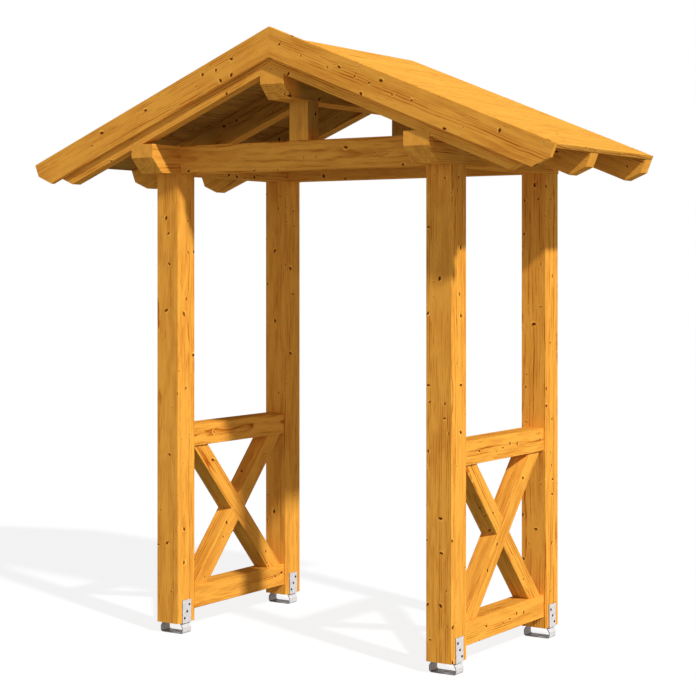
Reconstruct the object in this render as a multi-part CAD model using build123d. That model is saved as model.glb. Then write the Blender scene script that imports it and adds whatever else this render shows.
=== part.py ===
from build123d import *
import os
from math import cos, radians, sin, sqrt, tan

# Roofed garden arch in squared timber: four posts on steel strap feet, two braced side panels,
# and a pitched board roof on purlins, tie beams, king posts and three pairs of notched rafters.
# X runs across the passage, Y from the front to the rear, Z up from the ground.
# The origin is on the ground, under the middle of the roof. All sizes are in millimetres.

# Planed timber: the flat that breaks its long edges
edge_break = 1.5

# Posts
post_size = 120.0
post_length = 2024.0
arch_width = 1540.0
arch_depth = 950.0

# Strap feet: one bent strap under each post
strap_width = 60.0
strap_thickness = 4.0
strap_leg_height = 102.0
strap_loop_height = 50.0
strap_ledge = 12.0
strap_ledge_drop = 22.0
strap_outer_bend = 5.0
strap_ledge_bend = 1.5
strap_corner_bend = 12.0
strap_clearance = 0.3
leg_hole_diameter = 10.0
leg_hole_height = 50.0
leg_hole_step_back = 17.0
leg_hole_step_down = 29.0
base_hole_diameter = 13.0

# Side panels
rail_size = 100.0
lower_rail_rise = 50.0
upper_rail_rise = 790.0
brace_width = 80.0
brace_thickness = 80.0
brace_inset = 15.0

# Purlins on the posts and under the ridge
purlin_height = 126.0
purlin_end_cut = 66.0
ridge_width = 120.0
ridge_height = 120.0
ridge_end_cut = 60.0

# Tie beams across the passage and the king posts on them
tie_thickness = 80.0
tie_setback = 20.0
king_width = 98.0

# Rafters
roof_pitch = 22.0
rafter_depth = 118.0
rafter_thickness = 70.0
front_rafter_thickness = 55.0
rafter_end_cut = 58.0
purlin_seat_heel = 24.0
ridge_seat_heel = 23.0

# Roof deck and the bargeboards in front of it
front_overhang = 198.0
rear_overhang = 7.0
eave_reach = 1229.0
deck_thickness = 20.0
barge_thickness = 21.0
barge_depth = 120.0
barge_rise = 27.0
barge_reach = 1335.0
barge_end_cut = 62.0

# Length by which a cutting tool passes the faces that it cuts
cut_overrun = 10.0

# Places across the passage
post_outer_x = arch_width / 2
post_inner_x = post_outer_x - post_size
post_centre_x = post_outer_x - post_size / 2
post_x = (post_inner_x, post_outer_x)

# Places from the front to the rear
roof_depth = front_overhang + arch_depth + rear_overhang
roof_front_y = -roof_depth / 2
roof_rear_y = roof_depth / 2
rafter_front_y = roof_front_y + barge_thickness
front_post_y = roof_front_y + front_overhang
rear_post_y = front_post_y + arch_depth - post_size
panel_front_y = front_post_y + post_size
panel_rear_y = rear_post_y

# Heights above the ground
post_bottom_z = strap_loop_height
post_top_z = post_bottom_z + post_length
purlin_top_z = post_top_z + purlin_height
lower_rail_z = post_bottom_z + lower_rail_rise
upper_rail_z = post_bottom_z + upper_rail_rise

# The roof plane lies on top of the deck and starts at the ridge
pitch_sine = sin(radians(roof_pitch))
pitch_cosine = cos(radians(roof_pitch))
pitch_slope = tan(radians(roof_pitch))
rafter_bottom_z = purlin_top_z - purlin_seat_heel + post_outer_x * pitch_slope
ridge_z = rafter_bottom_z + (deck_thickness + rafter_depth) / pitch_cosine
ridge_purlin_top_z = rafter_bottom_z - ridge_width / 2 * pitch_slope + ridge_seat_heel
ridge_purlin_bottom_z = ridge_purlin_top_z - ridge_height
eave_length = eave_reach / pitch_cosine
barge_length = (barge_reach - barge_rise * pitch_sine) / pitch_cosine

# Directions in which the timbers run
ACROSS = (1, 0, 0)
TO_REAR = (0, 1, 0)
UP = (0, 0, 1)
DOWN_SLOPE = (pitch_cosine, 0, -pitch_sine)
roof_plane = Plane(origin=(0, 0, ridge_z), x_dir=DOWN_SLOPE, z_dir=(0, -1, 0))


def block(x_span, y_span, z_span):
    """A squared timber between two places along each axis."""
    low = (x_span[0], y_span[0], z_span[0])
    size = (x_span[1] - x_span[0], y_span[1] - y_span[0], z_span[1] - z_span[0])
    return Pos(*low) * Box(*size, align=(Align.MIN, Align.MIN, Align.MIN))


def eased(timber, direction):
    """Break the edges of a timber that run along its length."""
    return chamfer(timber.edges().filter_by(Axis((0, 0, 0), direction)), edge_break)


def side_prism(points, x_span):
    """An outline in Y and Z, carried across the passage."""
    outline = Plane.YZ.offset(x_span[0]) * Polygon(*points, align=None)
    return extrude(outline, amount=x_span[1] - x_span[0], dir=ACROSS)


def roof_prism(points, y_span):
    """An outline along the slope and square to it, carried from the front to the rear."""
    outline = roof_plane.offset(-y_span[0]) * Polygon(*points, align=None)
    return extrude(outline, amount=y_span[1] - y_span[0], dir=TO_REAR)


def slope_outline(top, depth, length, end_cut):
    """A sloping timber: plumb at the ridge, square at the eave, with its lower corner cut off."""
    bottom = top - depth
    ridge_end = [(-bottom * pitch_slope, bottom), (-top * pitch_slope, top)]
    eave_end = [(length, top), (length, bottom + end_cut), (length - end_cut, bottom)]
    return ridge_end + eave_end


def post(y_front):
    timber = block(post_x, (y_front, y_front + post_size), (post_bottom_z, post_top_z))
    return eased(timber, UP)


def strap_foot(y_front, step_back):
    """A strap bent round the foot of a post: two legs, a ledge for the post and a loop with a flat base."""
    outer_x = post_size / 2 + strap_clearance + strap_thickness
    ledge_z = post_bottom_z - strap_clearance - strap_thickness
    right_side = [
        (outer_x, post_bottom_z + strap_leg_height),
        (outer_x, ledge_z),
        (outer_x - strap_ledge, ledge_z),
        (outer_x, post_bottom_z - strap_ledge_drop),
        (outer_x, 0),
    ]
    left_side = [(-x, z) for x, z in reversed(right_side)]
    right_bends = [strap_outer_bend, strap_ledge_bend, strap_outer_bend, strap_corner_bend]
    outer_line = FilletPolyline(*right_side, *left_side, radius=right_bends + right_bends[::-1])
    section = make_face(offset(outer_line, amount=strap_thickness, side=Side.RIGHT, closed=True))
    strap = extrude(Plane.XZ * section, amount=strap_width / 2, both=True)
    for step in (-1, 0, 1):
        hole_z = post_bottom_z + leg_hole_height - step * leg_hole_step_down
        drill = Cylinder(leg_hole_diameter / 2, 2 * (outer_x + cut_overrun))
        strap -= Pos(0, step * step_back, hole_z) * Rot(0, 90, 0) * drill
    strap -= Cylinder(base_hole_diameter / 2, 2 * (strap_thickness + cut_overrun))
    return Pos(post_centre_x, y_front + post_size / 2, 0) * strap


def rail(bottom_z):
    """A rail between the posts of one side, on their centre line."""
    x_span = (post_centre_x - rail_size / 2, post_centre_x + rail_size / 2)
    timber = block(x_span, (panel_front_y, panel_rear_y), (bottom_z, bottom_z + rail_size))
    return eased(timber, TO_REAR)


def brace_pair():
    """Two braces between the rails of a side panel, halved into each other where they cross."""
    low_z = lower_rail_z + rail_size
    high_z = upper_rail_z
    front_y = panel_front_y + brace_inset
    rear_y = panel_rear_y - brace_inset
    length = rear_y - front_y
    height = high_z - low_z
    # Length of the level cuts at the ends of a brace
    spare = height ** 2 - brace_width ** 2
    root = sqrt((brace_width * length) ** 2 + spare * (height ** 2 + length ** 2))
    foot = brace_width * (root - brace_width * length) / spare
    rising = [
        (front_y, low_z),
        (front_y + foot, low_z),
        (rear_y, high_z),
        (rear_y - foot, high_z),
    ]
    falling = [(front_y + rear_y - y, z) for y, z in rising]
    inner_x = post_centre_x - brace_thickness / 2
    outer_x = post_centre_x + brace_thickness / 2
    rising_timber = eased(side_prism(rising, (inner_x, outer_x)), (0, length - foot, height))
    falling_timber = eased(side_prism(falling, (inner_x, outer_x)), (0, foot - length, height))
    rising_brace = rising_timber - side_prism(falling, (inner_x, post_centre_x))
    falling_brace = falling_timber - side_prism(rising, (post_centre_x, outer_x))
    return rising_brace, falling_brace


def purlin(x_span, bottom_z, top_z, end_cut):
    """A purlin from the front rafters to the rear ones, with its front end cut back below."""
    outline = [
        (rafter_front_y, top_z),
        (rafter_front_y, bottom_z + end_cut),
        (rafter_front_y + end_cut, bottom_z),
        (roof_rear_y, bottom_z),
        (roof_rear_y, top_z),
    ]
    return side_prism(outline, x_span)


def tie_beam(y_front):
    x_span = (-post_inner_x, post_inner_x)
    timber = block(x_span, (y_front, y_front + tie_thickness), (post_top_z, purlin_top_z))
    return eased(timber, ACROSS)


def king_post(y_front):
    x_span = (-king_width / 2, king_width / 2)
    timber = block(x_span, (y_front, y_front + tie_thickness), (purlin_top_z, ridge_purlin_bottom_z))
    return eased(timber, UP)


def rafter(y_span, side_purlin, ridge_purlin):
    """A rafter with level seats notched over the purlin on the posts and over the ridge purlin."""
    outline = slope_outline(-deck_thickness, rafter_depth, eave_length, rafter_end_cut)
    return eased(roof_prism(outline, y_span), DOWN_SLOPE) - side_purlin - ridge_purlin


def roof_deck():
    outline = [
        (0, 0),
        (eave_length, 0),
        (eave_length, -deck_thickness),
        (deck_thickness * pitch_slope, -deck_thickness),
    ]
    return roof_prism(outline, (rafter_front_y, roof_rear_y))


def bargeboard():
    outline = slope_outline(barge_rise, barge_depth, barge_length, barge_end_cut)
    return eased(roof_prism(outline, (roof_front_y, rafter_front_y)), DOWN_SLOPE)


nodes = {}


def both_sides(name, piece):
    """Keep a piece of the right side and its mirror image on the left."""
    nodes["right_" + name] = piece
    nodes["left_" + name] = mirror(piece, about=Plane.YZ)


# Posts on their feet; the hole rows of the two sides slant opposite ways
for place, y_front in (("front", front_post_y), ("rear", rear_post_y)):
    both_sides(place + "_post", post(y_front))
    nodes["right_" + place + "_foot"] = strap_foot(y_front, leg_hole_step_back)
    nodes["left_" + place + "_foot"] = mirror(strap_foot(y_front, -leg_hole_step_back), about=Plane.YZ)

# Side panels
both_sides("lower_rail", rail(lower_rail_z))
both_sides("upper_rail", rail(upper_rail_z))
rising_brace, falling_brace = brace_pair()
both_sides("rising_brace", rising_brace)
both_sides("falling_brace", falling_brace)

# Beams under the roof
ridge_x = (-ridge_width / 2, ridge_width / 2)
side_purlin = purlin(post_x, post_top_z, purlin_top_z, purlin_end_cut)
ridge_purlin = purlin(ridge_x, ridge_purlin_bottom_z, ridge_purlin_top_z, ridge_end_cut)
both_sides("purlin", eased(side_purlin, TO_REAR))
nodes["ridge_purlin"] = eased(ridge_purlin, TO_REAR)
for place, y_front in (("front", front_post_y), ("rear", rear_post_y)):
    nodes[place + "_tie_beam"] = tie_beam(y_front + tie_setback)
    nodes[place + "_king_post"] = king_post(y_front + tie_setback)

# Roof
front_rafter_rear_y = rafter_front_y + front_rafter_thickness
rear_rafter_front_y = roof_rear_y - rafter_thickness
rafter_middle_y = (front_rafter_rear_y + rear_rafter_front_y) / 2
rafter_spans = {
    "front": (rafter_front_y, front_rafter_rear_y),
    "middle": (rafter_middle_y - rafter_thickness / 2, rafter_middle_y + rafter_thickness / 2),
    "rear": (rear_rafter_front_y, roof_rear_y),
}
for place, y_span in rafter_spans.items():
    both_sides(place + "_rafter", rafter(y_span, side_purlin, ridge_purlin))
both_sides("roof_deck", roof_deck())
both_sides("bargeboard", bargeboard())

os.makedirs("parts", exist_ok=True)
for name, piece in nodes.items():
    export_step(piece, "parts/" + name + ".step")
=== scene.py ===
import math
import random

import bpy
from bpy.props import FloatProperty, FloatVectorProperty, IntProperty, PointerProperty
from bpy.types import Operator, Panel, PropertyGroup
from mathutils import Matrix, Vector


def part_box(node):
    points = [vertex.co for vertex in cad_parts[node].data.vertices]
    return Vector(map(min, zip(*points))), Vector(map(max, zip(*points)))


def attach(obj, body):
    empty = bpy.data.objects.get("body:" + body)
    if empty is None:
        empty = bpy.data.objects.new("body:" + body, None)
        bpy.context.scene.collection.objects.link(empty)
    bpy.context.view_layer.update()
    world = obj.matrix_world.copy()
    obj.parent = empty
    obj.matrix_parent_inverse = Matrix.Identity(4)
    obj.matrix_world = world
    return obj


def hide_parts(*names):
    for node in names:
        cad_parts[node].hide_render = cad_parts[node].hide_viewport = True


bl_info = {
    "name": "Roofed Garden Arch",
    "version": (1, 0, 0),
    "blender": (4, 5, 0),
    "location": "View3D > Sidebar > Garden Arch",
    "description": "Finishes a roofed garden arch in stained softwood on galvanised strap feet",
    "category": "Object",
}

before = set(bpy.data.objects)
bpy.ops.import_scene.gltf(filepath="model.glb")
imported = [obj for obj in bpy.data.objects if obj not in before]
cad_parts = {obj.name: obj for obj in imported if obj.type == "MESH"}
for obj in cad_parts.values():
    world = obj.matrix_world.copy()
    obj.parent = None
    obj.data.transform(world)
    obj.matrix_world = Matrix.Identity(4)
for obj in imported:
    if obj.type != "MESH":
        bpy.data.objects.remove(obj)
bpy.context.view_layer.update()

BODY = "root"
SIDES = {"left": -1, "right": 1}
PLACES = ("front", "rear")
RAFTER_PLACES = ("front", "middle", "rear")
DECK_LOW, DECK_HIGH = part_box("right_roof_deck")

# Distance within which two places count as one, and the least upward share of a level face's direction
TOUCHING = 1e-5
LEVEL = 0.99


# Settings

class StainedTimber(PropertyGroup):
    """Colours and figure of the stained softwood"""

    earlywood: FloatVectorProperty(
        name="Earlywood", description="Stain on the wide pale part of a growth ring",
        subtype="COLOR", min=0, max=1, default=(0.872, 0.400, 0.0555))
    latewood: FloatVectorProperty(
        name="Latewood", description="Stain on the narrow dark part of a growth ring",
        subtype="COLOR", min=0, max=1, default=(0.40, 0.078, 0.003))
    knot: FloatVectorProperty(
        name="Knot", description="Colour of the heart of a knot",
        subtype="COLOR", min=0, max=1, default=(0.030, 0.004, 0.001))
    knot_rim: FloatVectorProperty(
        name="Knot rim", description="Colour of the rim of a knot",
        subtype="COLOR", min=0, max=1, default=(0.30, 0.045, 0.001))
    halo: FloatVectorProperty(
        name="Knot halo", description="Pale wood round a knot",
        subtype="COLOR", min=0, max=1, default=(1.0, 0.53, 0.09))
    end_grain: FloatVectorProperty(
        name="End grain", description="Stain on sawn ends",
        subtype="COLOR", min=0, max=1, default=(0.86, 0.378, 0.0535))
    ring_width: FloatProperty(
        name="Ring width", description="Mean width of a growth ring",
        unit="LENGTH", min=0.001, default=0.0085)
    knot_spacing: FloatProperty(
        name="Knot spacing", description="Mean distance between the places where knots can lie",
        unit="LENGTH", min=0.01, default=0.070)
    knot_share: FloatProperty(
        name="Knot share", description="Share of these places that have a knot",
        subtype="FACTOR", min=0, max=1, default=0.42)
    knot_radius: FloatProperty(
        name="Largest knot", description="Radius of the largest knots",
        unit="LENGTH", min=0.001, default=0.0095)
    pin_radius: FloatProperty(
        name="Smallest knot", description="Radius of the pin knots",
        unit="LENGTH", min=0.0005, default=0.0032)
    roughness: FloatProperty(
        name="Roughness", description="Roughness of the satin stain",
        subtype="FACTOR", min=0, max=1, default=0.52)
    gloss: FloatProperty(
        name="Gloss", description="Strength of the stain's reflections",
        subtype="FACTOR", min=0, max=1, default=0.0)
    # Painted shade: a tint that darkens the roof boards' lower faces, standing in for the shade under the
    # roof
    underside_shade: FloatVectorProperty(
        name="Underside", description="Tint of the roof boards' lower faces beside their tops",
        subtype="COLOR", min=0, max=1, default=(0.58, 0.68, 0.92))
    # Painted shade: a tint that darkens the braces' lower faces, standing in for their shade
    brace_underside: FloatVectorProperty(
        name="Brace underside", description="Tint of the braces' lower faces beside their sides",
        subtype="COLOR", min=0, max=1, default=(0.76, 0.94, 1.0))
    # Painted shade on the timbers high under the roof: its tint, where it starts and how it fades in
    shelter_shade: FloatVectorProperty(
        name="Sheltered", description="Tint of the timbers high under the roof",
        subtype="COLOR", min=0, max=1, default=(0.64, 0.78, 1.0))
    shelter_start: FloatProperty(
        name="Shelter start", description="Height at which the timbers under the roof start to darken",
        unit="LENGTH", default=2.20)
    shelter_depth: FloatProperty(
        name="Shelter depth", description="Height over which they darken", unit="LENGTH", default=0.08)
    shelter_front: FloatProperty(
        name="Shelter front", description="Place, from the front to the rear, behind which they darken",
        unit="LENGTH", default=-0.49)


class DeckBoards(PropertyGroup):
    """The boards on the two roof slopes"""

    pitch: FloatProperty(
        name="Pitch", description="Slope of the roof", subtype="ANGLE", default=math.radians(22))
    thickness: FloatProperty(
        name="Thickness", description="Thickness of a board", unit="LENGTH", default=0.020)
    count: IntProperty(
        name="Boards", description="Boards from the ridge to the eave", min=1, default=11)
    seam: FloatProperty(
        name="Seam", description="Gap between two boards on top", unit="LENGTH", default=0.0012)
    top_bevel: FloatProperty(
        name="Top bevel", description="Eased long edges on top", unit="LENGTH", default=0.0008)
    joint_bevel: FloatProperty(
        name="Joint bevel", description="Bevel of the joints seen from below", unit="LENGTH", default=0.003)
    darkest_tone: FloatProperty(
        name="Darkest board", description="Tone of the darkest board beside the palest one",
        subtype="FACTOR", min=0, max=1, default=0.90)
    # How much paler the boards' top faces are made, towards the halo colour
    top_pallor: FloatProperty(
        name="Bleach", description="How far the boards' tops have paled",
        subtype="FACTOR", min=0, max=1, default=0.35)


class FootFittings(PropertyGroup):
    """Steel of the strap feet and the screws in their legs"""

    zinc: FloatVectorProperty(
        name="Zinc", description="Pale crystals of the zinc coat",
        subtype="COLOR", min=0, max=1, default=(0.79, 0.745, 0.70))
    dull_zinc: FloatVectorProperty(
        name="Dull zinc", description="Dark crystals of the zinc coat",
        subtype="COLOR", min=0, max=1, default=(0.44, 0.45, 0.46))
    # Painted shade: a tint that darkens the zinc on the strap's edges and level faces, standing in for
    # their shade
    strap_shade_tint: FloatVectorProperty(
        name="Edge tint", description="Tint of the zinc on the strap's edges and level faces",
        subtype="COLOR", min=0, max=1, default=(0.44, 0.44, 0.44))
    spangle: FloatProperty(
        name="Spangle", description="Size of the zinc crystals", unit="LENGTH", min=0.001, default=0.007)
    # Real screws, with a near-black colour that also paints the shade in the holes
    screw: FloatVectorProperty(
        name="Screw", description="Colour of the blackened screws",
        subtype="COLOR", min=0, max=1, default=(0.010, 0.009, 0.009))
    head_radius: FloatProperty(
        name="Screw head", description="Radius of a screw head", unit="LENGTH", default=0.0054)
    head_height: FloatProperty(
        name="Head height", description="Height of a screw head on the strap",
        unit="LENGTH", default=0.0021)
    rim: FloatProperty(
        name="Head rim", description="Bevel round a screw head", unit="LENGTH", default=0.0009)
    drive_share: FloatProperty(
        name="Drive share", description="Size of the star drive as a share of the head", default=0.56)
    lobe_share: FloatProperty(
        name="Lobe share", description="Depth between two lobes of the star drive", default=0.72)
    drive_depth: FloatProperty(
        name="Drive depth", description="Depth of the star drive", unit="LENGTH", default=0.0013)
    hole_height: FloatProperty(
        name="Hole height", description="Middle hole of a leg above the post's end",
        unit="LENGTH", default=0.050)
    hole_step_back: FloatProperty(
        name="Step along", description="Step of the slanting hole row across a leg",
        unit="LENGTH", default=0.017)
    hole_step_down: FloatProperty(
        name="Step down", description="Step of the slanting hole row down a leg",
        unit="LENGTH", default=0.029)


class StudioStage(PropertyGroup):
    """Floor, light and camera"""

    sun_bearing: FloatProperty(
        name="Key bearing", description="Bearing of the key light, from the front towards the right",
        subtype="ANGLE", default=math.radians(69.2))
    sun_height: FloatProperty(
        name="Key height", description="Height of the key light above the horizon",
        subtype="ANGLE", default=math.radians(39))
    sun_strength: FloatProperty(
        name="Key strength", description="Strength of the key light", min=0, default=3.55)
    sun_softness: FloatProperty(
        name="Key softness", description="Apparent size of the key light", subtype="ANGLE",
        default=math.radians(2.5))
    ambient: FloatProperty(
        name="Ambient", description="Strength of the light from all round at the horizon",
        min=0, default=0.86)
    ambient_tint: FloatVectorProperty(
        name="Ambient tint", description="Colour of the light from all round",
        subtype="COLOR", min=0, max=1, default=(1.0, 0.945, 0.97))
    ambient_focus: FloatProperty(
        name="Ambient focus", description="How closely the light from all round keeps to the horizon",
        min=0, default=3.0)
    floor_bounce: FloatVectorProperty(
        name="Floor bounce", description="Colour that the floor throws back on the object",
        subtype="COLOR", min=0, max=1, default=(0.35, 0.385, 0.43))
    floor_shade: FloatVectorProperty(
        name="Floor shade", description="Pale floor colour that takes the shadow",
        subtype="COLOR", min=0, max=1, default=(0.16, 0.16, 0.16))
    floor_glow: FloatProperty(
        name="Floor glow", description="Even white of the floor in the picture", min=0, max=1, default=0.86)
    floor_size: FloatProperty(
        name="Floor size", description="Length of the floor's sides", unit="LENGTH", default=80.0)
    camera_place: FloatVectorProperty(
        name="Camera place", description="Where the camera stands", subtype="TRANSLATION", unit="LENGTH",
        default=(4.2647, -6.3962, 1.6630))
    camera_turn: FloatProperty(
        name="Camera turn", description="Turn of the level camera from the front towards the right",
        subtype="ANGLE", default=math.radians(33.594))
    picture_pixels: FloatProperty(
        name="Picture size", description="Sides of the square picture in pixels", default=696.0)
    focal_pixels: FloatProperty(
        name="Focal length", description="Focal length of the camera in pixels", default=1720.1)
    horizon_row: FloatProperty(
        name="Horizon row", description="Pixel row of the horizon in the picture", default=265.47)


# Node helpers

def add_node(tree, kind, sockets=None, **settings):
    """Add a node, set its settings, and link or set its input sockets."""
    node = tree.nodes.new("ShaderNode" + kind)
    for name, value in settings.items():
        setattr(node, name, value)
    for key, value in (sockets or {}).items():
        if isinstance(value, bpy.types.NodeSocket):
            tree.links.new(value, node.inputs[key])
        else:
            node.inputs[key].default_value = value
    return node


def maths(tree, operation, *values):
    """Result of a sum on sockets and numbers."""
    return add_node(tree, "Math", dict(enumerate(values)), operation=operation).outputs[0]


def vector_maths(tree, operation, *values):
    """Result of a sum on vectors: a number for a length or a dot product, or else a vector."""
    node = add_node(tree, "VectorMath", dict(enumerate(values)), operation=operation)
    return node.outputs["Value" if operation in ("LENGTH", "DOT_PRODUCT") else "Vector"]


def ramp(tree, value, start, end, low=0.0, high=1.0):
    """A smooth step from low to high as a value goes from start to end."""
    sockets = {"Value": value, "From Min": start, "From Max": end, "To Min": low, "To Max": high}
    return add_node(tree, "MapRange", sockets, interpolation_type="SMOOTHSTEP").outputs["Result"]


def noise(tree, place, cells, detail, output="Fac"):
    """Soft noise, with so many cells to each unit of place."""
    sockets = {"Vector": place, "Scale": cells, "Detail": detail}
    return add_node(tree, "TexNoise", sockets).outputs[output]


def face_direction(tree):
    """X, Y and Z of the way that a face looks."""
    return add_node(tree, "SeparateXYZ", {0: add_node(tree, "TexCoord").outputs["Normal"]}).outputs


def mix_colour(tree, factor, first, second, blend="MIX"):
    """A mix of two colours; the node's colours are its inputs 6 and 7 and its output 2."""
    node = add_node(tree, "Mix", data_type="RGBA", blend_type=blend)
    for number, value in {0: factor, 6: first, 7: second}.items():
        if isinstance(value, bpy.types.NodeSocket):
            tree.links.new(value, node.inputs[number])
        elif isinstance(value, float):
            node.inputs[number].default_value = value
        else:
            node.inputs[number].default_value = (*value, 1.0)
    return node.outputs[2]


def new_material(name):
    """An empty material: its node tree and its surface shader."""
    material = bpy.data.materials.new(name)
    material.use_nodes = True
    tree = material.node_tree
    return material, tree, tree.nodes["Principled BSDF"]


# Stained softwood

# Noise of each part of the figure: cells a metre, the third of three along the grain, and then detail
WANDER_NOISE = (2.2, 1.0)
WOBBLE_NOISE = (24.0, 3.0)
RAGGED_NOISE = (150.0, 1.0)
ZONE_NOISE = ((18, 18, 1.6), 1.0)
BREAK_NOISE = ((60, 60, 8), 2.0)
STREAK_NOISE = ((170, 170, 9), 3.0)
FIBRE_NOISE = ((420, 420, 14), 2.0)
FLAME_NOISE = ((34, 34, 4), 3.0)
NOISE_MEAN = 0.5

# Widths of the random shifts across the grain, in metres, and the stretch of the wobble along it
PITH_WANDER = 0.024
RING_WOBBLE = 0.007
WOBBLE_STRETCH = 0.30
RAGGED_EDGE = 0.008

# Knots: shift of the pattern from face to face and size of a place without a knot, in metres
FACE_SHIFT = 3.7
NO_KNOT = 0.0001

# Rarity of large knots, squeeze across and along a knot, and place of the pale wood in sizes of the knot
KNOT_SIZE_POWER = 1.6
KNOT_OVAL = (1.55, 0.95, 0)
PALE_ASIDE = 0.95

# Ramps: where a value starts and ends, then the results there if they aren't 0 and 1
KNOT_EDGE = (1.40, 0.80)
HEART_EDGE = (0.95, 0.45)
PALE_EDGE = (1.6, 1.0)
BULGE_EDGE = (2.6, 0.6)
KNOT_STRENGTH = (0.25, 0.75, 0.50, 1.0)
LATE_RISE = (0.56, 0.88)
LATE_FALL = (1.0, 0.93)
RING_DEPTH = (0.0, 1.0, 0.25, 1.0)
ZONE_FADE = (0.36, 0.60, 0.15, 1.0)
BREAK_FADE = (0.30, 0.54)
STREAK_EDGE = (0.59, 0.72)
FLAME_TONE = (0.36, 0.67, -0.06, 0.25)

# Shares of the parts of the figure in the tone, from earlywood at 0 to latewood at 1
LEAST_TONE = 0.02
LATE_TONE = 0.90
STREAK_TONE = 0.34
FIBRE_TONE = 0.75

# Brightness of latewood on sawn ends beside earlywood, and how far pale wood and knots hide the figure
SOAKED_LATEWOOD = 0.65
PALE_COVER = 0.75
KNOT_COVER = 0.95

# Changes of the roughness
EARLY_ROUGHER = 0.04
LATE_SMOOTHER = -0.08
END_ROUGHER = 0.2

# Relief of the grain in metres, and the heights in it of latewood and knots
GRAIN_RELIEF = 0.0003
RELIEF_STRENGTH = 0.25
LATE_HEIGHT = -0.5
KNOT_HEIGHT = 0.6

# Ramps of a face's direction, from -1 to 1 along an axis
IS_SAWN_END = (0.75, 0.95)
LOOKS_UP = (0.2, 0.6)
LOOKS_DOWN = (-0.2, -0.6)
# How much of the painted shelter shade each way of facing takes
FRONT_SHELTER = (-0.7, -0.3, 0.35, 1.0)
LOWER_SHELTER = (-0.8, -0.4, 0.35, 1.0)
REAR_SHELTER = (0.7, 0.3)

# Distances behind the start of the painted shelter shade at which the front faces of the timbers take it
# too
FRONT_FACES_FROM = 0.2
FRONT_FACES_TO = 0.3

# Mean distance of the pith from the middle of a timber, in metres, and the least and largest share of it
POST_HEART = 0.070
RAIL_HEART = 0.065
BRACE_HEART = 0.060
PURLIN_HEART = 0.070
TIE_HEART = 0.075
RAFTER_HEART = 0.070
BARGEBOARD_HEART = 0.080
HEART_SPREAD = (0.6, 1.4)

# Middle of a roof board from the pith, in metres: across the board, up, and along it
BOARD_PITH = (0.010, 0.060, 0)

# Length of the stem, in metres, from which the timbers are cut at random places
STEM_LENGTH = 90

# Faces that meet at an edge are one smooth face where their directions agree this much
SMOOTH_EDGE = 0.95


def sway(tree, place, cells, detail, width):
    """A random shift across the grain, to and fro over a width."""
    shift = noise(tree, place, cells, detail, "Color")
    shift = vector_maths(tree, "SUBTRACT", shift, (NOISE_MEAN, NOISE_MEAN, NOISE_MEAN))
    return vector_maths(tree, "MULTIPLY", shift, (width, width, 0))


def grain_noise(tree, place, cells, detail):
    """Noise with so many cells a metre across and along the grain."""
    return noise(tree, vector_maths(tree, "MULTIPLY", place, cells), 1.0, detail)


def place_in_stem(tree, place, pith):
    """Place in the stem, X and Y from the pith and Z along it: as it is, and with a pith that wanders."""
    stem = vector_maths(tree, "ADD", place, pith)
    along = vector_maths(tree, "MULTIPLY", stem, (0, 0, 1))
    stretched = vector_maths(tree, "MULTIPLY", stem, (1, 1, WOBBLE_STRETCH))
    round_pith = vector_maths(tree, "ADD", stem, sway(tree, along, *WANDER_NOISE, PITH_WANDER))
    wobble = sway(tree, stretched, *WOBBLE_NOISE, RING_WOBBLE)
    return stem, vector_maths(tree, "ADD", round_pith, wobble)


def place_on_face(tree, place, half_size, stem):
    """Place on the timber's four long faces laid side by side: X across a face, Y along the stem."""
    at = add_node(tree, "SeparateXYZ", {0: place}).outputs
    shares = vector_maths(tree, "ABSOLUTE", vector_maths(tree, "DIVIDE", place, half_size))
    shares = add_node(tree, "SeparateXYZ", {0: shares}).outputs
    on_x_face = maths(tree, "GREATER_THAN", shares["X"], shares["Y"])
    across = add_node(tree, "Mix", {0: on_x_face, 2: at["X"], 3: at["Y"]}).outputs[0]
    outward = add_node(tree, "Mix", {0: on_x_face, 2: at["Y"], 3: at["X"]}).outputs[0]
    face_number = maths(tree, "MULTIPLY_ADD", on_x_face, 2.0, maths(tree, "GREATER_THAN", outward, 0.0))
    across = maths(tree, "MULTIPLY_ADD", face_number, FACE_SHIFT, across)
    stem_z = add_node(tree, "SeparateXYZ", {0: stem}).outputs["Z"]
    return add_node(tree, "CombineXYZ", {"X": across, "Y": stem_z}).outputs[0]


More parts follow.
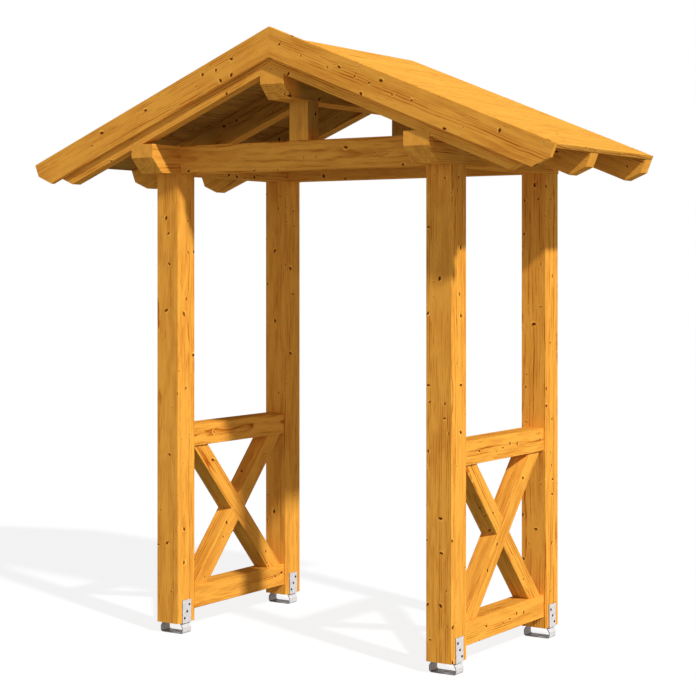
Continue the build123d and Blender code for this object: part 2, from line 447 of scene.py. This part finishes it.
def knots(tree, timber, on_face):
    """How far a place lies in a knot, in its heart and in pale wood beside it, and how far rings shift.

    The knots lie in a pattern of cells, of which a share has one. Each is an oval at a slant of its own,
    with a ragged edge.
    """
    cells = add_node(tree, "TexVoronoi", {"Vector": on_face, "Scale": 1 / timber.knot_spacing},
                     voronoi_dimensions="2D")
    chance = add_node(tree, "SeparateColor", {"Color": cells.outputs["Color"]}).outputs
    has_knot = maths(tree, "LESS_THAN", chance["Green"], timber.knot_share)
    size = maths(tree, "POWER", chance["Red"], KNOT_SIZE_POWER)
    size = maths(tree, "MULTIPLY_ADD", size, timber.knot_radius - timber.pin_radius, timber.pin_radius)
    size = maths(tree, "MAXIMUM", maths(tree, "MULTIPLY", size, has_knot), NO_KNOT)
    from_heart = vector_maths(tree, "SUBTRACT", on_face, cells.outputs["Position"])
    ragged = sway(tree, on_face, *RAGGED_NOISE, RAGGED_EDGE)
    from_heart = vector_maths(tree, "ADD", from_heart, ragged)
    slant = maths(tree, "MULTIPLY", chance["Blue"], 2 * math.pi)
    from_heart = add_node(tree, "VectorRotate", {"Vector": from_heart, "Angle": slant}).outputs["Vector"]
    oval = vector_maths(tree, "MULTIPLY", from_heart, KNOT_OVAL)
    near = maths(tree, "DIVIDE", vector_maths(tree, "LENGTH", oval), size)
    aside = add_node(tree, "CombineXYZ", {"X": maths(tree, "MULTIPLY", size, PALE_ASIDE)}).outputs[0]
    aside = vector_maths(tree, "LENGTH", vector_maths(tree, "SUBTRACT", oval, aside))
    pale = ramp(tree, maths(tree, "DIVIDE", aside, size), *PALE_EDGE)
    strength = ramp(tree, chance["Red"], *KNOT_STRENGTH)
    knot = maths(tree, "MULTIPLY", ramp(tree, near, *KNOT_EDGE), strength)
    heart = maths(tree, "MULTIPLY", ramp(tree, near, *HEART_EDGE), strength)
    push = maths(tree, "MULTIPLY", ramp(tree, near, *BULGE_EDGE), size)
    return knot, heart, pale, push


def growth_rings(tree, timber, stem, round_pith, push):
    """Latewood of the growth rings: bent round knots, each ring of its own depth, fading in and out."""
    reach = vector_maths(tree, "LENGTH", vector_maths(tree, "MULTIPLY", round_pith, (1, 1, 0)))
    ring_place = maths(tree, "DIVIDE", maths(tree, "ADD", reach, push), timber.ring_width)
    ring = maths(tree, "FRACT", ring_place)
    late = maths(tree, "MULTIPLY", ramp(tree, ring, *LATE_RISE), ramp(tree, ring, *LATE_FALL))
    depth = add_node(tree, "TexWhiteNoise", {"W": maths(tree, "FLOOR", ring_place)}, noise_dimensions="1D")
    late = maths(tree, "MULTIPLY", late, ramp(tree, depth.outputs["Value"], *RING_DEPTH))
    zone = grain_noise(tree, stem, *ZONE_NOISE)
    late = maths(tree, "MULTIPLY", late, ramp(tree, zone, *ZONE_FADE))
    broken = grain_noise(tree, stem, *BREAK_NOISE)
    return maths(tree, "MULTIPLY", late, ramp(tree, broken, *BREAK_FADE))


def softwood_figure(timber):
    """Node group for a squared timber: rings round the pith, streaks along it and knots on the faces."""
    tree = bpy.data.node_groups.get("softwood_figure")
    if tree:
        return tree
    tree = bpy.data.node_groups.new("softwood_figure", "ShaderNodeTree")
    inputs = {"Place": "Vector", "Half Size": "Vector", "Pith": "Vector", "End": "Float"}
    outputs = {"Color": "Color", "Roughness": "Float", "Height": "Float"}
    for name, kind in inputs.items():
        tree.interface.new_socket(name, in_out="INPUT", socket_type="NodeSocket" + kind)
    for name, kind in outputs.items():
        tree.interface.new_socket(name, in_out="OUTPUT", socket_type="NodeSocket" + kind)
    given = tree.nodes.new("NodeGroupInput").outputs
    result = tree.nodes.new("NodeGroupOutput").inputs

    stem, round_pith = place_in_stem(tree, given["Place"], given["Pith"])
    on_face = place_on_face(tree, given["Place"], given["Half Size"], stem)
    knot, heart, pale, push = knots(tree, timber, on_face)
    late = growth_rings(tree, timber, stem, round_pith, push)

    # Short dark streaks and fibres along the grain, and soft flames in the stain
    streak = ramp(tree, grain_noise(tree, round_pith, *STREAK_NOISE), *STREAK_EDGE)
    fibre = maths(tree, "SUBTRACT", grain_noise(tree, round_pith, *FIBRE_NOISE), NOISE_MEAN)
    flame = ramp(tree, grain_noise(tree, round_pith, *FLAME_NOISE), *FLAME_TONE)

    # Colour
    tone = maths(tree, "MULTIPLY_ADD", late, LATE_TONE, LEAST_TONE)
    tone = maths(tree, "MULTIPLY_ADD", streak, STREAK_TONE, tone)
    tone = maths(tree, "MULTIPLY_ADD", fibre, FIBRE_TONE, tone)
    tone = maths(tree, "ADD", tone, flame)
    tone = add_node(tree, "Clamp", {"Value": tone}).outputs[0]
    colour = mix_colour(tree, tone, timber.earlywood, timber.latewood)
    soaked = mix_colour(tree, tone, timber.end_grain, [c * SOAKED_LATEWOOD for c in timber.end_grain])
    colour = mix_colour(tree, given["End"], colour, soaked)
    colour = mix_colour(tree, maths(tree, "MULTIPLY", pale, PALE_COVER), colour, timber.halo)
    knot_colour = mix_colour(tree, heart, timber.knot_rim, timber.knot)
    colour = mix_colour(tree, maths(tree, "MULTIPLY", knot, KNOT_COVER), colour, knot_colour)
    tree.links.new(colour, result["Color"])

    # Roughness and relief
    rough = maths(tree, "MULTIPLY_ADD", tone, LATE_SMOOTHER, timber.roughness + EARLY_ROUGHER)
    rough = maths(tree, "MULTIPLY_ADD", given["End"], END_ROUGHER, rough)
    tree.links.new(rough, result["Roughness"])
    height = maths(tree, "MULTIPLY_ADD", late, LATE_HEIGHT, fibre)
    height = maths(tree, "MULTIPLY_ADD", knot, KNOT_HEIGHT, height)
    tree.links.new(height, result["Height"])
    return tree


def finish_timber(tree, shader, timber, place, axis, pith, half_size):
    """Join the softwood figure to a surface shader; axis is the way that the timber runs."""
    normal = add_node(tree, "TexCoord").outputs["Normal"]
    facing = maths(tree, "ABSOLUTE", vector_maths(tree, "DOT_PRODUCT", normal, axis))
    figure = add_node(tree, "Group", node_tree=softwood_figure(timber))
    tree.links.new(place, figure.inputs["Place"])
    tree.links.new(ramp(tree, facing, *IS_SAWN_END), figure.inputs["End"])
    figure.inputs["Pith"].default_value = pith
    figure.inputs["Half Size"].default_value = half_size
    shader.inputs["Specular IOR Level"].default_value = timber.gloss
    tree.links.new(figure.outputs["Roughness"], shader.inputs["Roughness"])
    relief = {"Height": figure.outputs["Height"], "Strength": RELIEF_STRENGTH, "Distance": GRAIN_RELIEF}
    tree.links.new(add_node(tree, "Bump", relief).outputs["Normal"], shader.inputs["Normal"])
    return figure.outputs["Color"]


def paint_shade_below(tree, colour, tint):
    """Paint shade on the faces that look down, by multiplying their colour by a tint."""
    return mix_colour(tree, ramp(tree, face_direction(tree)["Z"], *LOOKS_DOWN), colour, tint, "MULTIPLY")


def paint_shelter_shade(tree, shader, timber, colour):
    """Paint shade on a timber high under the roof: less on its front and lower faces, and not towards the
    rear.
    """
    place = add_node(tree, "TexCoord").outputs["Object"]
    place = add_node(tree, "SeparateXYZ", {0: place}).outputs
    facing = face_direction(tree)
    front = timber.shelter_front
    high = ramp(tree, place["Z"], timber.shelter_start, timber.shelter_start + timber.shelter_depth)
    behind = ramp(tree, place["Y"], front, front + timber.shelter_depth)
    far_behind = ramp(tree, place["Y"], front + FRONT_FACES_FROM, front + FRONT_FACES_TO)
    turned_in = maths(tree, "MAXIMUM", ramp(tree, facing["Y"], *FRONT_SHELTER), far_behind)
    turned_in = maths(tree, "MINIMUM", ramp(tree, facing["Z"], *LOWER_SHELTER), turned_in)
    turned_in = maths(tree, "MULTIPLY", ramp(tree, facing["Y"], *REAR_SHELTER), turned_in)
    shelter_shade = maths(tree, "MULTIPLY", maths(tree, "MULTIPLY", high, behind), turned_in)
    colour = mix_colour(tree, shelter_shade, colour, timber.shelter_shade, "MULTIPLY")
    tree.links.new(colour, shader.inputs["Base Color"])


def timber_run(name):
    """Middle, turn and half size of a timber; its own Z axis follows its longest sharp edge."""
    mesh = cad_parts[name].data
    normals = {}
    for face in mesh.polygons:
        for edge in face.edge_keys:
            normals.setdefault(edge, []).append(face.normal)
    points = [vertex.co for vertex in mesh.vertices]
    sharp = [points[b] - points[a] for (a, b), sides in normals.items()
             if len(sides) == 1 or sides[0].dot(sides[1]) < SMOOTH_EDGE]
    turn = max(sharp, key=lambda edge: edge.length).to_track_quat("Z", "Y")
    turned = [turn.inverted() @ point for point in points]
    low = Vector([min(point[i] for point in turned) for i in range(3)])
    high = Vector([max(point[i] for point in turned) for i in range(3)])
    return turn @ ((low + high) / 2), turn, (high - low) / 2


def stain_timbers(timber, names, heart, underside_shade=None):
    """Give each named timber a stain of its own, with its pith about heart metres from its middle.

    Its lower faces get painted shade, by the tint given for it, where there is one.
    """
    for name in names:
        draw = random.Random(name)
        middle, turn, half_size = timber_run(name)
        bearing = draw.uniform(0, 2 * math.pi)
        reach = heart * draw.uniform(*HEART_SPREAD)
        pith = (reach * math.cos(bearing), reach * math.sin(bearing), draw.uniform(0, STEM_LENGTH))
        material, tree, shader = new_material(name + "_stain")
        place = add_node(tree, "Mapping", {
            "Vector": add_node(tree, "TexCoord").outputs["Object"],
            "Location": middle,
            "Rotation": turn.to_euler(),
        }, vector_type="TEXTURE").outputs["Vector"]
        colour = finish_timber(tree, shader, timber, place, turn @ Vector((0, 0, 1)), pith, half_size)
        # Painted shade on the lower faces, where a tint for it is given
        if underside_shade is not None:
            colour = paint_shade_below(tree, colour, underside_shade)
        # Painted shade high under the roof
        paint_shelter_shade(tree, shader, timber, colour)
        dress_node(name, material)


def dress_node(name, material):
    """Put a material on a node of the frame."""
    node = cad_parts[name]
    if not node.material_slots:
        raise RuntimeError(name + " has no material slot")
    for slot in node.material_slots:
        slot.material = material


# Galvanised steel and blackened screws

def galvanised_steel(fittings):
    """Zinc in crystals and soft clouds, with painted shade on the strap's edges and level faces."""
    ripple_noise = (1.3, 2.0)
    cloud_noise = (60.0, 3.0)
    cloud_share = 0.6
    crystal_share = 0.4
    is_shaded_face = (0.7, 0.3)
    sheen = (0.1, 0.9, 0.30, 0.46)
    metal_share = 0.05
    gloss = 0.15
    relief = 0.0002
    relief_strength = 0.2

    material, tree, shader = new_material("galvanised_strap")
    place = add_node(tree, "TexCoord").outputs["Object"]
    bent = vector_maths(tree, "SCALE", place)
    bent.node.inputs["Scale"].default_value = 1 / fittings.spangle
    ripple = vector_maths(tree, "ADD", bent, noise(tree, bent, *ripple_noise, "Color"))
    crystal = add_node(tree, "TexVoronoi", {"Vector": ripple, "Scale": 1.0})
    shade = add_node(tree, "SeparateColor", {"Color": crystal.outputs["Color"]}).outputs["Red"]
    shade = maths(tree, "MULTIPLY", shade, crystal_share)
    mixed = maths(tree, "MULTIPLY_ADD", noise(tree, place, *cloud_noise), cloud_share, shade)
    colour = mix_colour(tree, mixed, fittings.zinc, fittings.dull_zinc)
    # Painted shade on the faces that don't look along X
    edge = ramp(tree, maths(tree, "ABSOLUTE", face_direction(tree)["X"]), *is_shaded_face)
    colour = mix_colour(tree, edge, colour, fittings.strap_shade_tint, "MULTIPLY")
    tree.links.new(colour, shader.inputs["Base Color"])
    tree.links.new(ramp(tree, mixed, *sheen), shader.inputs["Roughness"])
    shader.inputs["Metallic"].default_value = metal_share
    shader.inputs["Specular IOR Level"].default_value = gloss
    bump = add_node(tree, "Bump", {"Height": mixed, "Strength": relief_strength, "Distance": relief})
    tree.links.new(bump.outputs["Normal"], shader.inputs["Normal"])
    return material


def black_screw(fittings):
    """Near-black steel: real screws whose dark colour also paints the shade in the holes. A little paler
    and smoother where it is worn.
    """
    wear_noise = (900.0, 3.0)
    is_worn = (0.45, 0.7)
    paler = 1.6
    sheen = (0.0, 1.0, 0.55, 0.38)
    gloss = 0.1

    material, tree, shader = new_material("screw_in_hole_shade")
    place = add_node(tree, "TexCoord").outputs["Object"]
    wear = ramp(tree, noise(tree, place, *wear_noise), *is_worn)
    worn = [min(1.0, c * paler) for c in fittings.screw]
    tree.links.new(mix_colour(tree, wear, fittings.screw, worn), shader.inputs["Base Color"])
    tree.links.new(ramp(tree, wear, *sheen), shader.inputs["Roughness"])
    shader.inputs["Specular IOR Level"].default_value = gloss
    return material


# Mesh helpers

def deselect():
    """Leave edit mode and select nothing."""
    if bpy.context.mode != "OBJECT":
        bpy.ops.object.mode_set(mode="OBJECT")
    bpy.ops.object.select_all(action="DESELECT")


def pick(piece, kind, test):
    """Enter edit mode with only the chosen vertices, edges or faces of a piece selected."""
    bpy.context.view_layer.objects.active = piece
    bpy.ops.object.mode_set(mode="EDIT")
    bpy.ops.mesh.select_mode(type=kind)
    bpy.ops.mesh.select_all(action="DESELECT")
    bpy.ops.object.mode_set(mode="OBJECT")
    mesh = piece.data
    items = {"VERT": mesh.vertices, "EDGE": mesh.edges, "FACE": mesh.polygons}[kind]
    for item in items:
        item.select = bool(test(item))
    bpy.ops.object.mode_set(mode="EDIT")


def keep_piece(piece, name, material):
    """Name a finished piece, give it its material and let it ride on the frame."""
    piece.name = name
    piece.data.name = name
    piece.data.materials.clear()
    piece.data.materials.append(material)
    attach(piece, BODY)


def board_width(deck):
    """Width of a roof board, from the length of a slope."""
    return (DECK_HIGH.x - DECK_LOW.x) / math.cos(deck.pitch) / deck.count


# Operators

class ARCH_OT_posts(Operator):
    """Stain the four posts"""
    bl_idname = "arch.posts"
    bl_label = "Stain Posts"

    def execute(self, context):
        names = [f"{side}_{place}_post" for side in SIDES for place in PLACES]
        stain_timbers(context.scene.arch_timber, names, POST_HEART)
        return {"FINISHED"}


class ARCH_OT_side_panels(Operator):
    """Stain the rails and the halved braces of both sides, with painted shade on the braces' lower faces"""
    bl_idname = "arch.side_panels"
    bl_label = "Stain Side Panels"

    def execute(self, context):
        timber = context.scene.arch_timber
        for side in SIDES:
            stain_timbers(timber, [f"{side}_lower_rail", f"{side}_upper_rail"], RAIL_HEART)
            braces = [f"{side}_rising_brace", f"{side}_falling_brace"]
            # The braces' lower faces get painted shade
            stain_timbers(timber, braces, BRACE_HEART, timber.brace_underside)
        return {"FINISHED"}


class ARCH_OT_beams(Operator):
    """Stain the purlins, tie beams and king posts, with painted shade high under the roof"""
    bl_idname = "arch.beams"
    bl_label = "Stain Beams"

    def execute(self, context):
        timber = context.scene.arch_timber
        stain_timbers(timber, ["left_purlin", "ridge_purlin", "right_purlin"], PURLIN_HEART)
        for place in PLACES:
            stain_timbers(timber, [f"{place}_tie_beam", f"{place}_king_post"], TIE_HEART)
        return {"FINISHED"}


class ARCH_OT_slopes(Operator):
    """Stain the rafters and the bargeboards, with painted shade high under the roof"""
    bl_idname = "arch.slopes"
    bl_label = "Stain Rafters and Bargeboards"

    def execute(self, context):
        timber = context.scene.arch_timber
        for side in SIDES:
            rafters = [f"{side}_{place}_rafter" for place in RAFTER_PLACES]
            stain_timbers(timber, rafters, RAFTER_HEART)
            stain_timbers(timber, [f"{side}_bargeboard"], BARGEBOARD_HEART)
        return {"FINISHED"}


class ARCH_OT_deck(Operator):
    """Lay the roof boards of both slopes, side by side from the ridge to the eave"""
    bl_idname = "arch.deck"
    bl_label = "Lay Roof Boards"

    def execute(self, context):
        deck = context.scene.arch_deck
        timber = context.scene.arch_timber
        for side, sign in SIDES.items():
            boards = [self.board(deck, side, sign, number) for number in range(deck.count)]
            deselect()
            for board in boards:
                board.select_set(True)
            slope = boards[0]
            context.view_layer.objects.active = slope
            bpy.ops.object.join()
            slope.location = (0, 0, DECK_HIGH.z)
            slope.rotation_euler = (0, sign * deck.pitch, 0)
            bpy.ops.object.transform_apply()
            pick(slope, "FACE", lambda face: True)
            bpy.ops.mesh.bisect(plane_co=(0, 0, 0), plane_no=(sign, 0, 0), use_fill=True, clear_inner=True)
            bpy.ops.object.mode_set(mode="OBJECT")
            keep_piece(slope, f"{side}_deck_boards", self.stain(timber, deck, side))
            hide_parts(f"{side}_roof_deck")
        return {"FINISHED"}

    def board(self, deck, side, sign, number):
        """One board, still level: X down the slope, Y from the front to the rear."""
        width = board_width(deck)
        upper = number * width + deck.seam / 2
        lower = (number + 1) * width
        if number < deck.count - 1:
            lower -= deck.seam / 2
        middle = Vector((sign * (upper + lower) / 2, (DECK_LOW.y + DECK_HIGH.y) / 2, -deck.thickness / 2))
        size = (lower - upper, DECK_HIGH.y - DECK_LOW.y, deck.thickness)
        deselect()
        bpy.ops.mesh.primitive_cube_add(size=1, location=middle, scale=size)
        board = bpy.context.object
        bpy.ops.object.transform_apply()
        mesh = board.data
        for bevel, height in ((deck.top_bevel, 0.0), (deck.joint_bevel, -deck.thickness)):
            pick(board, "EDGE", lambda edge: self.is_long_edge(mesh, edge, height))
            bpy.ops.mesh.bevel(offset=bevel, segments=1, affect="EDGES")
            bpy.ops.object.mode_set(mode="OBJECT")
        draw = random.Random(f"{side} board {number}")
        shift = draw.uniform(0, STEM_LENGTH)
        grain = mesh.attributes.new("grain_place", "FLOAT_VECTOR", "POINT")
        for vertex, item in zip(mesh.vertices, grain.data):
            from_middle = vertex.co - middle
            item.vector = (from_middle.x, from_middle.z, from_middle.y + shift)
        shade = draw.uniform(deck.darkest_tone, 1)
        tone = mesh.attributes.new("board_tone", "FLOAT", "POINT")
        for item in tone.data:
            item.value = shade
        return board

    @staticmethod
    def is_long_edge(mesh, edge, height):
        """Whether an edge runs along a board at a height."""
        ends = [mesh.vertices[i].co for i in edge.vertices]
        level = all(abs(end.z - height) < TOUCHING for end in ends)
        return level and abs(ends[0].x - ends[1].x) < TOUCHING

    @staticmethod
    def stain(timber, deck, side):
        """Stain of the boards: each of its own tone, paler on top, and with painted shade below."""
        material, tree, shader = new_material(f"{side}_deck_stain")
        place = add_node(tree, "Attribute", attribute_name="grain_place").outputs["Vector"]
        half_size = (board_width(deck) / 2, deck.thickness / 2, 1.0)
        colour = finish_timber(tree, shader, timber, place, (0, 1, 0), BOARD_PITH, half_size)
        tone = add_node(tree, "Attribute", attribute_name="board_tone").outputs["Fac"]
        colour = mix_colour(tree, 1.0, colour, tone, "MULTIPLY")
        on_top = ramp(tree, face_direction(tree)["Z"], *LOOKS_UP, 0.0, deck.top_pallor)
        colour = mix_colour(tree, on_top, colour, timber.halo)
        # Painted shade on the boards' lower faces
        tree.links.new(paint_shade_below(tree, colour, timber.underside_shade), shader.inputs["Base Color"])
        return material


class ARCH_OT_feet(Operator):
    """Galvanise the strap feet"""
    bl_idname = "arch.feet"
    bl_label = "Galvanise Feet"

    def execute(self, context):
        steel = galvanised_steel(context.scene.arch_feet)
        for side in SIDES:
            for place in PLACES:
                dress_node(f"{side}_{place}_foot", steel)
        return {"FINISHED"}


class ARCH_OT_screws(Operator):
    """Set a screw head on each hole in the legs of the strap feet, near-black so that it also paints the
    shade in the hole
    """
    bl_idname = "arch.screws"
    bl_label = "Drive Screws"

    def execute(self, context):
        fittings = context.scene.arch_feet
        material = black_screw(fittings)
        pattern = self.screw(fittings)
        for side, sign in SIDES.items():
            for place in PLACES:
                post_low, post_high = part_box(f"{side}_{place}_post")
                foot_low, foot_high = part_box(f"{side}_{place}_foot")
                middle_y = (post_low.y + post_high.y) / 2
                copies = []
                for step in (-1, 0, 1):
                    y = middle_y + step * fittings.hole_step_back * sign
                    z = post_low.z + fittings.hole_height - step * fittings.hole_step_down
                    copies.append(self.drive(pattern, Vector((foot_low.x, y, z)), -1))
                    copies.append(self.drive(pattern, Vector((foot_high.x, y, z)), 1))
                deselect()
                for copy in copies:
                    copy.select_set(True)
                context.view_layer.objects.active = copies[0]
                bpy.ops.object.join()
                keep_piece(copies[0], f"{side}_{place}_foot_screws", material)
        bpy.data.objects.remove(pattern)
        return {"FINISHED"}

    @staticmethod
    def screw(fittings):
        """A pan head with a six-lobed drive, on the XY plane and facing up."""
        corners = 24
        rim_steps = 3
        # In degrees: the turn from lobe to lobe, and the stretch of it that lies between two lobes
        lobe_turn = 60
        gap_from = 20
        gap_to = 50
        deselect()
        bpy.ops.mesh.primitive_cylinder_add(
            vertices=corners, radius=fittings.head_radius, depth=fittings.head_height,
            location=(0, 0, fittings.head_height / 2))
        screw = bpy.context.object
        bpy.ops.object.transform_apply()
        mesh = screw.data
        top = fittings.head_height
        flat = fittings.head_radius - fittings.rim
        drive = fittings.head_radius * fittings.drive_share

        def on_top(vertex):
            return abs(vertex.co.z - top) < TOUCHING

        def between_lobes(vertex):
            turn = math.degrees(math.atan2(vertex.co.y, vertex.co.x)) % lobe_turn
            on_drive = on_top(vertex) and vertex.co.xy.length < (drive + flat) / 2
            return on_drive and gap_from < turn < gap_to

        def in_drive(face):
            return face.normal.z > LEVEL and face.center.xy.length < drive / 2

        pick(screw, "EDGE", lambda edge: all(on_top(mesh.vertices[i]) for i in edge.vertices))
        bpy.ops.mesh.bevel(offset=fittings.rim, segments=rim_steps, affect="EDGES")
        bpy.ops.object.mode_set(mode="OBJECT")
        pick(screw, "FACE", lambda face: face.normal.z > LEVEL)
        bpy.ops.mesh.inset(thickness=flat - drive)
        bpy.ops.object.mode_set(mode="OBJECT")
        pick(screw, "VERT", between_lobes)
        narrower = (fittings.lobe_share, fittings.lobe_share, 1)
        bpy.ops.transform.resize(value=narrower, center_override=(0, 0, top))
        bpy.ops.object.mode_set(mode="OBJECT")
        pick(screw, "FACE", in_drive)
        bpy.ops.mesh.extrude_region_move(TRANSFORM_OT_translate={"value": (0, 0, -fittings.drive_depth)})
        bpy.ops.object.mode_set(mode="OBJECT")
        return screw

    @staticmethod
    def drive(pattern, place, way):
        """A copy of the screw head on the outside of a leg, facing along X."""
        copy = pattern.copy()
        copy.data = pattern.data.copy()
        bpy.context.collection.objects.link(copy)
        deselect()
        copy.select_set(True)
        bpy.context.view_layer.objects.active = copy
        copy.location = place
        copy.rotation_euler = (0, way * math.pi / 2, 0)
        bpy.ops.object.transform_apply()
        return copy


class ARCH_OT_stage(Operator):
    """Set the floor, the lights and the camera"""
    bl_idname = "arch.stage"
    bl_label = "Set Stage"

    def execute(self, context):
        stage = context.scene.arch_stage
        self.floor(stage)
        self.world(stage)
        self.lights(stage)
        self.camera(stage)
        context.scene.view_settings.view_transform = "Standard"
        return {"FINISHED"}

    @staticmethod
    def seen(tree):
        """1 for rays that show the stage to the camera, straight, in metal or through glass."""
        rays = add_node(tree, "LightPath").outputs
        seen = maths(tree, "MAXIMUM", rays["Is Camera Ray"], rays["Is Glossy Ray"])
        return maths(tree, "MAXIMUM", seen, rays["Is Transmission Ray"])

    def floor(self, stage):
        """A pale floor that takes the shadow in the picture and throws little colour back on the object."""
        deselect()
        bpy.ops.mesh.primitive_plane_add(size=stage.floor_size)
        floor = bpy.context.object
        floor.name = "floor"
        material = bpy.data.materials.new("pale_floor")
        material.use_nodes = True
        tree = material.node_tree
        tree.nodes.clear()
        bounce = add_node(tree, "BsdfDiffuse", {"Color": (*stage.floor_bounce, 1)})
        shade = add_node(tree, "BsdfDiffuse", {"Color": (*stage.floor_shade, 1)})
        glow = add_node(tree, "Emission", {"Strength": stage.floor_glow})
        pale = add_node(tree, "AddShader", {0: shade.outputs[0], 1: glow.outputs[0]})
        parts = {0: self.seen(tree), 1: bounce.outputs[0], 2: pale.outputs[0]}
        mixed = add_node(tree, "MixShader", parts)
        add_node(tree, "OutputMaterial", {"Surface": mixed.outputs[0]})
        floor.data.materials.append(material)

    def world(self, stage):
        """White to the camera; light on the object that is strongest at the horizon and fades above it."""
        world = bpy.data.worlds.new("studio")
        bpy.context.scene.world = world
        world.use_nodes = True
        tree = world.node_tree
        tree.nodes.clear()
        direction = add_node(tree, "TexCoord").outputs["Generated"]
        height = add_node(tree, "SeparateXYZ", {0: direction}).outputs["Z"]
        level = maths(tree, "SUBTRACT", 1.0, maths(tree, "MULTIPLY", height, height))
        strength = maths(tree, "MULTIPLY", maths(tree, "POWER", level, stage.ambient_focus), stage.ambient)
        ambient = add_node(tree, "Background", {"Color": (*stage.ambient_tint, 1), "Strength": strength})
        white = add_node(tree, "Background", {"Color": (1, 1, 1, 1), "Strength": 1.0})
        parts = {0: self.seen(tree), 1: ambient.outputs[0], 2: white.outputs[0]}
        mixed = add_node(tree, "MixShader", parts)
        add_node(tree, "OutputWorld", {"Surface": mixed.outputs[0]})

    @staticmethod
    def lights(stage):
        """One soft key light."""
        distance = 6
        level = math.cos(stage.sun_height)
        to_sun = Vector((level * math.sin(stage.sun_bearing), -level * math.cos(stage.sun_bearing),
                         math.sin(stage.sun_height)))
        turn = to_sun.to_track_quat("Z", "Y").to_euler()
        deselect()
        bpy.ops.object.light_add(type="SUN", location=to_sun * distance, rotation=turn)
        sun = bpy.context.object
        sun.name = "key_light"
        sun.data.energy = stage.sun_strength
        sun.data.angle = stage.sun_softness

    @staticmethod
    def camera(stage):
        """A level camera with its picture shifted down, so that upright edges stay upright."""
        farthest = 200
        bpy.ops.object.camera_add(location=stage.camera_place, rotation=(math.pi / 2, 0, stage.camera_turn))
        camera = bpy.context.object
        camera.name = "photo_camera"
        camera.data.sensor_fit = "HORIZONTAL"
        camera.data.lens = camera.data.sensor_width * stage.focal_pixels / stage.picture_pixels
        camera.data.shift_y = stage.horizon_row / stage.picture_pixels - 0.5
        camera.data.clip_end = farthest
        bpy.context.scene.camera = camera


class ARCH_PT_sidebar(Panel):
    """Lists the steps that finish the arch"""
    bl_idname = "ARCH_PT_sidebar"
    bl_label = "Garden Arch"
    bl_space_type = "VIEW_3D"
    bl_region_type = "UI"
    bl_category = "Garden Arch"

    def draw(self, context):
        for operator in OPERATORS:
            self.layout.operator(operator.bl_idname)
        for name, group in SETTINGS.items():
            box = self.layout.box()
            box.label(text=group.__doc__)
            for field in group.__annotations__:
                box.prop(getattr(context.scene, name), field)


SETTINGS = {
    "arch_timber": StainedTimber,
    "arch_deck": DeckBoards,
    "arch_feet": FootFittings,
    "arch_stage": StudioStage,
}
OPERATORS = (
    ARCH_OT_posts,
    ARCH_OT_side_panels,
    ARCH_OT_beams,
    ARCH_OT_slopes,
    ARCH_OT_deck,
    ARCH_OT_feet,
    ARCH_OT_screws,
    ARCH_OT_stage,
)


def register():
    for cls in (*SETTINGS.values(), *OPERATORS, ARCH_PT_sidebar):
        bpy.utils.register_class(cls)
    for name, group in SETTINGS.items():
        setattr(bpy.types.Scene, name, PointerProperty(type=group))


def unregister():
    for name in SETTINGS:
        delattr(bpy.types.Scene, name)
    for cls in reversed((*SETTINGS.values(), *OPERATORS, ARCH_PT_sidebar)):
        bpy.utils.unregister_class(cls)


def main():
    register()
    bpy.ops.arch.posts()
    bpy.ops.arch.side_panels()
    bpy.ops.arch.beams()
    bpy.ops.arch.slopes()
    bpy.ops.arch.deck()
    bpy.ops.arch.feet()
    bpy.ops.arch.screws()
    bpy.ops.arch.stage()


if __name__ == "__main__":
    main()
